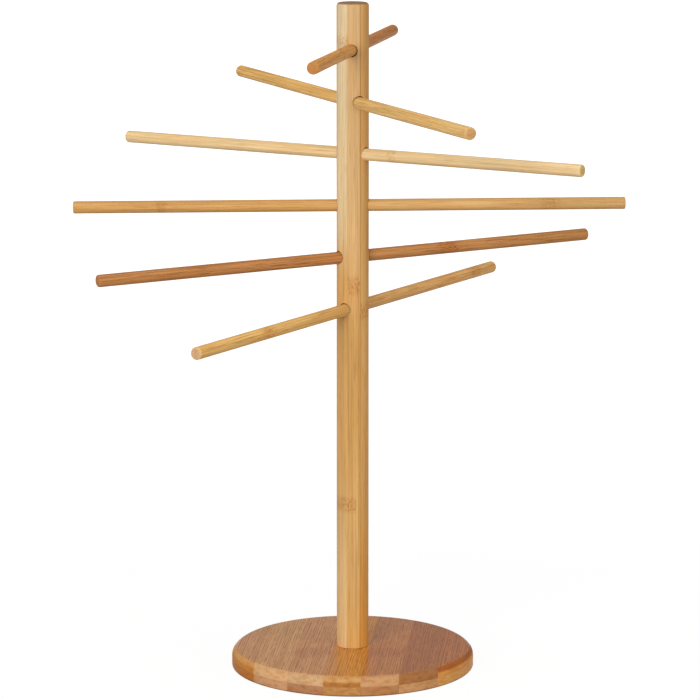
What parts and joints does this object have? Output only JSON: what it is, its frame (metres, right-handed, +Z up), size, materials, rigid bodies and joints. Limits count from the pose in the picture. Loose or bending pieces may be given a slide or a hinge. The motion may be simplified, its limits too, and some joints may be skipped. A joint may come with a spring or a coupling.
{
  "type": "pasta drying rack",
  "caption": "Free-standing bamboo rack for drying fresh pasta: round base, upright post and loose rods through it in a spiral.",
  "frame": {"origin": "on the table under the middle of the post, at the centre of the base's underside", "axes": "+Z up the post; +X to the right and +Y to the back of the rack as it stands in the picture"},
  "size_m": [0.3581, 0.355, 0.4384],
  "materials": {
    "bamboo_pale": "satin clear lacquer on bamboo",
    "bamboo_golden": "satin clear lacquer on bamboo",
    "bamboo_brown": "satin clear lacquer on bamboo",
    "bamboo_dark": "satin clear lacquer on bamboo",
    "bamboo_red": "satin clear lacquer on bamboo",
    "screw_steel": "zinc-plated screw"
  },
  "bodies": {
    "stand": {"base_bottom_slat_1": "bamboo_golden", "base_bottom_slat_2": "bamboo_golden", "base_bottom_slat_3": "bamboo_brown", "base_bottom_slat_4": "bamboo_golden", "base_bottom_slat_5": "bamboo_brown", "base_bottom_slat_6": "bamboo_golden", "base_bottom_slat_7": "bamboo_golden", "base_top_slat_1": "bamboo_golden", "base_top_slat_2": "bamboo_pale", "base_top_slat_3": "bamboo_pale", "base_top_slat_4": "bamboo_brown", "base_top_slat_5": "bamboo_pale", "base_top_slat_6": "bamboo_dark", "base_top_slat_7": "bamboo_golden", "post": "bamboo_pale", "post_screw": "screw_steel"},
    "rod_1": {"rod_1": "bamboo_red"},
    "rod_2": {"rod_2": "bamboo_golden"},
    "rod_3": {"rod_3": "bamboo_pale"},
    "rod_4": {"rod_4": "bamboo_golden"},
    "rod_5": {"rod_5": "bamboo_red"},
    "rod_6": {"rod_6": "bamboo_brown"}
  },
  "joints": [
    {"name": "rod_1_slide", "type": "slide", "parent": "stand", "child": "rod_1", "axis": [-0.1443, -0.9892, 0.0244], "range_m": [-0.1795, 0.2095]},
    {"name": "rod_2_slide", "type": "slide", "parent": "stand", "child": "rod_2", "axis": [0.4147, -0.9099, -0.014], "range_m": [-0.1863, 0.2027]},
    {"name": "rod_3_slide", "type": "slide", "parent": "stand", "child": "rod_3", "axis": [0.8211, -0.5707, 0.0087], "range_m": [-0.1884, 0.2006]},
    {"name": "rod_4_slide", "type": "slide", "parent": "stand", "child": "rod_4", "axis": [0.9999, 0.0105, 0.007], "range_m": [-0.1924, 0.1966]},
    {"name": "rod_5_slide", "type": "slide", "parent": "stand", "child": "rod_5", "axis": [0.8853, 0.4648, 0.014], "range_m": [-0.1931, 0.1959]},
    {"name": "rod_6_slide", "type": "slide", "parent": "stand", "child": "rod_6", "axis": [0.5372, 0.8433, 0.0157], "range_m": [-0.1956, 0.1934]}
  ]
}
